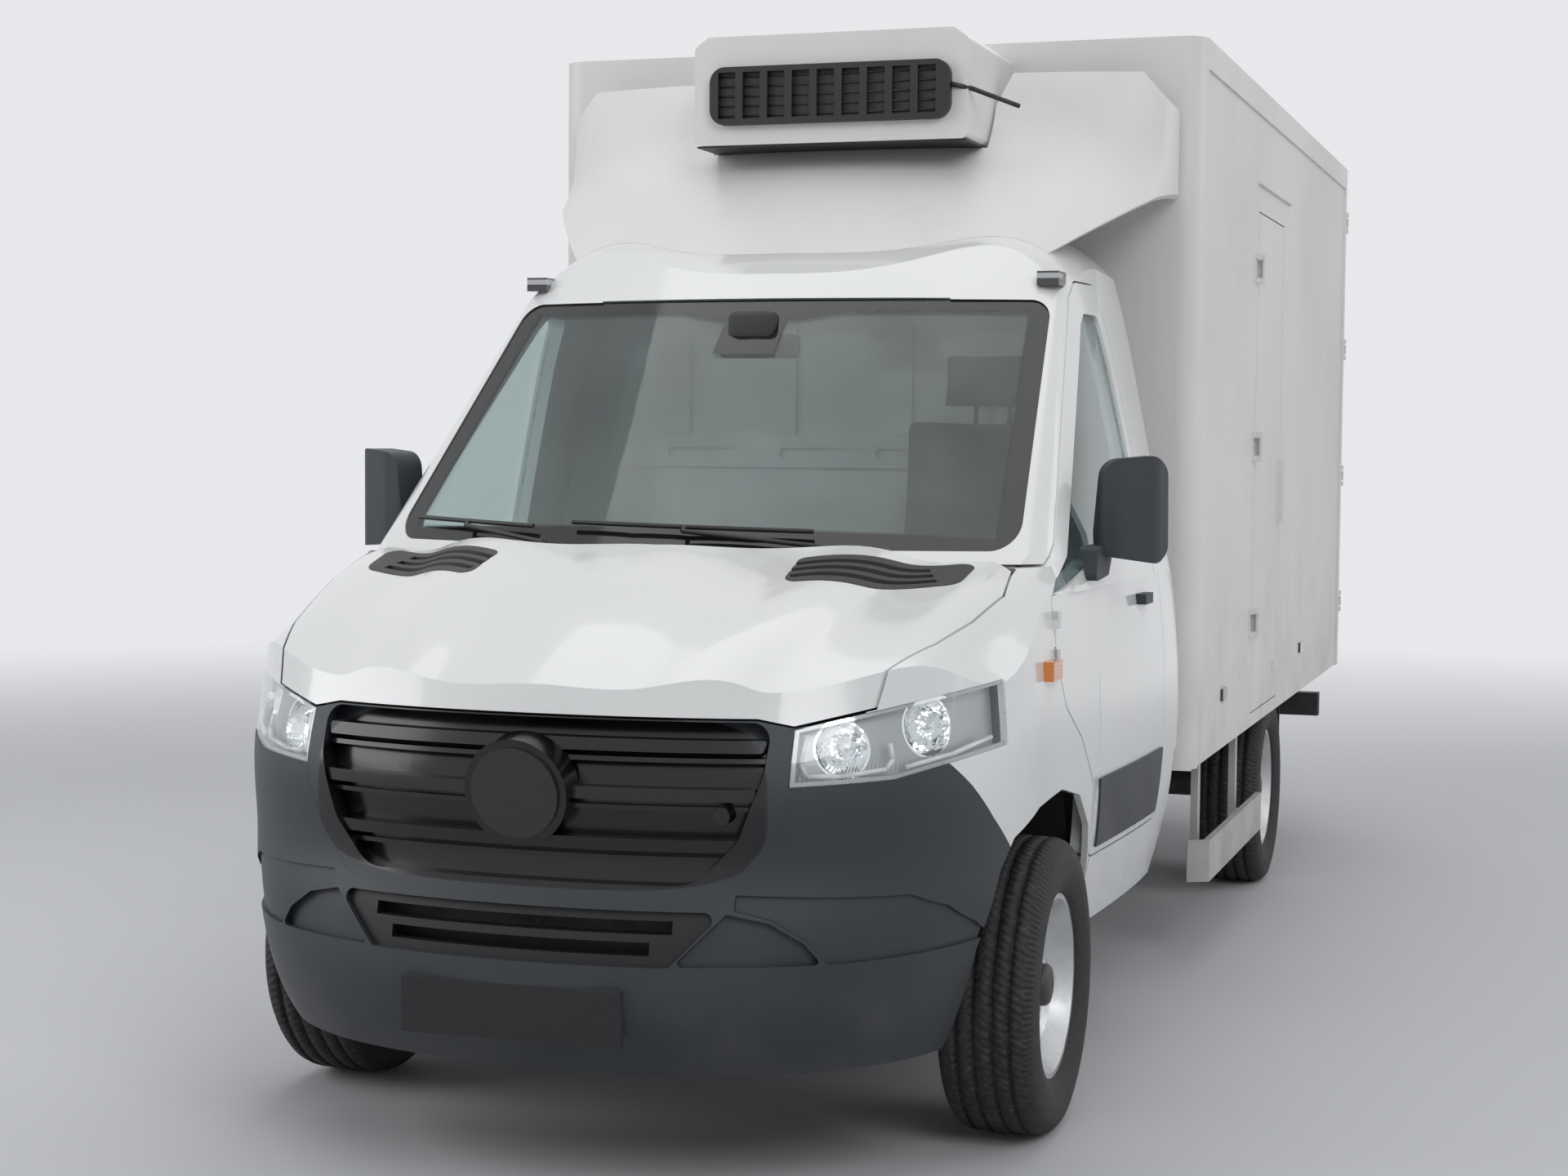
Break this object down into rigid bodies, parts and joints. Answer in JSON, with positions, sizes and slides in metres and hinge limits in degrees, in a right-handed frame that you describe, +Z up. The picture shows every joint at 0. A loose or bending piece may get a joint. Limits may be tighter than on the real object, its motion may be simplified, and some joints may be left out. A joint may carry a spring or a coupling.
{
  "type": "refrigerated truck",
  "caption": "Refrigerated truck: cab on a chassis frame, insulated box body with side and rear doors, wind deflector and cooling unit.",
  "frame": {"origin": "on the ground, at the middle of the whole truck's box seen from above", "axes": "+X to the truck's left, +Y to its rear, +Z up"},
  "size_m": [2.252, 6.475, 2.8299],
  "materials": {
    "cab_sides": "gloss",
    "cab_roof": "gloss",
    "cab_rear_wall": "gloss",
    "windshield": "clear",
    "cowl": "grained",
    "cab_door_left": "gloss",
    "cab_door_right": "gloss",
    "door_glass_left": "clear",
    "door_glass_right": "clear",
    "door_trim_left": "grained",
    "door_trim_right": "grained",
    "hood": "gloss",
    "front_bumper": "grained",
    "fenders": "gloss",
    "lamps": "gloss",
    "headlamps": "gloss",
    "headlamp_lenses": "clear",
    "wipers": "grained",
    "hood_vents": "grained",
    "wheel_housings": "grained",
    "grille": "gloss",
    "cab_floor": "gloss",
    "dashboard": "grained",
    "driver_seat": "satin",
    "steering_wheel": "grained",
    "frame": "gloss",
    "engine": "satin",
    "radiator": "satin",
    "front_suspension": "gloss",
    "knuckle_left": "satin",
    "knuckle_right": "satin",
    "rear_axle": "satin",
    "leaf_springs": "gloss",
    "exhaust": "satin",
    "fuel_tank": "grained",
    "box_floor": "gloss",
    "box_front_wall": "gloss",
    "box_side_walls": "gloss",
    "box_roof": "gloss",
    "box_frame": "gloss",
    "box_side_door": "gloss",
    "rear_door_left": "gloss",
    "rear_door_right": "gloss",
    "wind_deflector": "gloss",
    "cooling_unit": "gloss",
    "cooling_grille": "grained",
    "side_guards": "gloss",
    "mud_flaps": "satin",
    "rear_bumper": "gloss",
    "tyre_front_left": "satin",
    "rim_front_left": "gloss",
    "tyre_front_right": "satin",
    "rim_front_right": "gloss",
    "tyre_rear_left": "satin",
    "rim_rear_left": "gloss",
    "tyre_rear_right": "satin",
    "rim_rear_right": "gloss"
  },
  "bodies": {
    "root": {"headlamps": "headlamps", "headlamp_lenses": "headlamp_lenses", "wipers": "wipers", "wheel_housings": "wheel_housings", "cab_sides": "cab_sides", "cab_roof": "cab_roof", "cab_rear_wall": "cab_rear_wall", "windshield": "windshield", "cowl": "cowl", "front_bumper": "front_bumper", "fenders": "fenders", "lamps": "lamps", "grille": "grille", "cab_floor": "cab_floor", "dashboard": "dashboard", "driver_seat": "driver_seat", "frame": "frame", "engine": "engine", "radiator": "radiator", "front_suspension": "front_suspension", "rear_axle": "rear_axle", "leaf_springs": "leaf_springs", "exhaust": "exhaust", "fuel_tank": "fuel_tank", "box_floor": "box_floor", "box_front_wall": "box_front_wall", "box_side_walls": "box_side_walls", "box_roof": "box_roof", "box_frame": "box_frame", "wind_deflector": "wind_deflector", "cooling_unit": "cooling_unit", "cooling_grille": "cooling_grille", "side_guards": "side_guards", "mud_flaps": "mud_flaps", "rear_bumper": "rear_bumper"},
    "hood": {"hood": "hood", "hood_vents": "hood_vents"},
    "cab_door_left": {"cab_door_left": "cab_door_left", "door_glass_left": "door_glass_left", "door_trim_left": "door_trim_left"},
    "cab_door_right": {"cab_door_right": "cab_door_right", "door_glass_right": "door_glass_right", "door_trim_right": "door_trim_right"},
    "steering_wheel": {"steering_wheel": "steering_wheel"},
    "knuckle_left": {"knuckle_left": "knuckle_left"},
    "knuckle_right": {"knuckle_right": "knuckle_right"},
    "box_side_door": {"box_side_door": "box_side_door"},
    "rear_door_left": {"rear_door_left": "rear_door_left"},
    "rear_door_right": {"rear_door_right": "rear_door_right"},
    "wheel_front_left": {"tyre_front_left": "tyre_front_left", "rim_front_left": "rim_front_left"},
    "wheel_front_right": {"tyre_front_right": "tyre_front_right", "rim_front_right": "rim_front_right"},
    "wheel_rear_left": {"tyre_rear_left": "tyre_rear_left", "rim_rear_left": "rim_rear_left"},
    "wheel_rear_right": {"tyre_rear_right": "tyre_rear_right", "rim_rear_right": "rim_rear_right"}
  },
  "joints": [
    {"name": "hood_hinge", "type": "hinge", "parent": "root", "child": "hood", "pos_m": [0, -2.268, 1.318], "axis": [-1, 0, 0], "range_deg": [0, 45]},
    {"name": "cab_door_left_hinge", "type": "hinge", "parent": "root", "child": "cab_door_left", "pos_m": [0.957, -2.228, 1], "axis": [0, 0, -1], "range_deg": [0, 65]},
    {"name": "cab_door_right_hinge", "type": "hinge", "parent": "root", "child": "cab_door_right", "pos_m": [-0.957, -2.228, 1], "axis": [0, 0, 1], "range_deg": [0, 65]},
    {"name": "steering_wheel_turn", "type": "hinge", "parent": "root", "child": "steering_wheel", "pos_m": [0.43, -1.734, 1.2207], "axis": [0, 0.7021, 0.7121], "range_deg": [-480, 480]},
    {"name": "steer_left", "type": "hinge", "parent": "root", "child": "knuckle_left", "pos_m": [0.8, -2.233, 0.353], "axis": [0, 0, 1], "range_deg": [-32, 32]},
    {"name": "steer_right", "type": "hinge", "parent": "root", "child": "knuckle_right", "pos_m": [-0.8, -2.233, 0.353], "axis": [0, 0, 1], "range_deg": [-32, 32]},
    {"name": "wheel_front_left_spin", "type": "hinge", "parent": "knuckle_left", "child": "wheel_front_left", "pos_m": [0.868, -2.233, 0.353], "axis": [1, 0, 0], "continuous": true},
    {"name": "wheel_front_right_spin", "type": "hinge", "parent": "knuckle_right", "child": "wheel_front_right", "pos_m": [-0.868, -2.233, 0.353], "axis": [1, 0, 0], "continuous": true},
    {"name": "wheel_rear_left_spin", "type": "hinge", "parent": "root", "child": "wheel_rear_left", "pos_m": [0.8545, 1.432, 0.353], "axis": [1, 0, 0], "continuous": true},
    {"name": "wheel_rear_right_spin", "type": "hinge", "parent": "root", "child": "wheel_rear_right", "pos_m": [-0.8545, 1.432, 0.353], "axis": [1, 0, 0], "continuous": true},
    {"name": "box_side_door_hinge", "type": "hinge", "parent": "root", "child": "box_side_door", "pos_m": [1.034, 0.577, 1.6], "axis": [0, 0, -1], "range_deg": [0, 160]},
    {"name": "rear_door_left_hinge", "type": "hinge", "parent": "root", "child": "rear_door_left", "pos_m": [1.018, 3.229, 1.7], "axis": [0, 0, -1], "range_deg": [0, 265]},
    {"name": "rear_door_right_hinge", "type": "hinge", "parent": "root", "child": "rear_door_right", "pos_m": [-1.018, 3.229, 1.7], "axis": [0, 0, 1], "range_deg": [0, 265]}
  ],
  "couplings": [
    {"joint": "steer_left", "follows": "steering_wheel_turn", "ratio": 0.066667},
    {"joint": "steer_right", "follows": "steering_wheel_turn", "ratio": 0.066667}
  ]
}
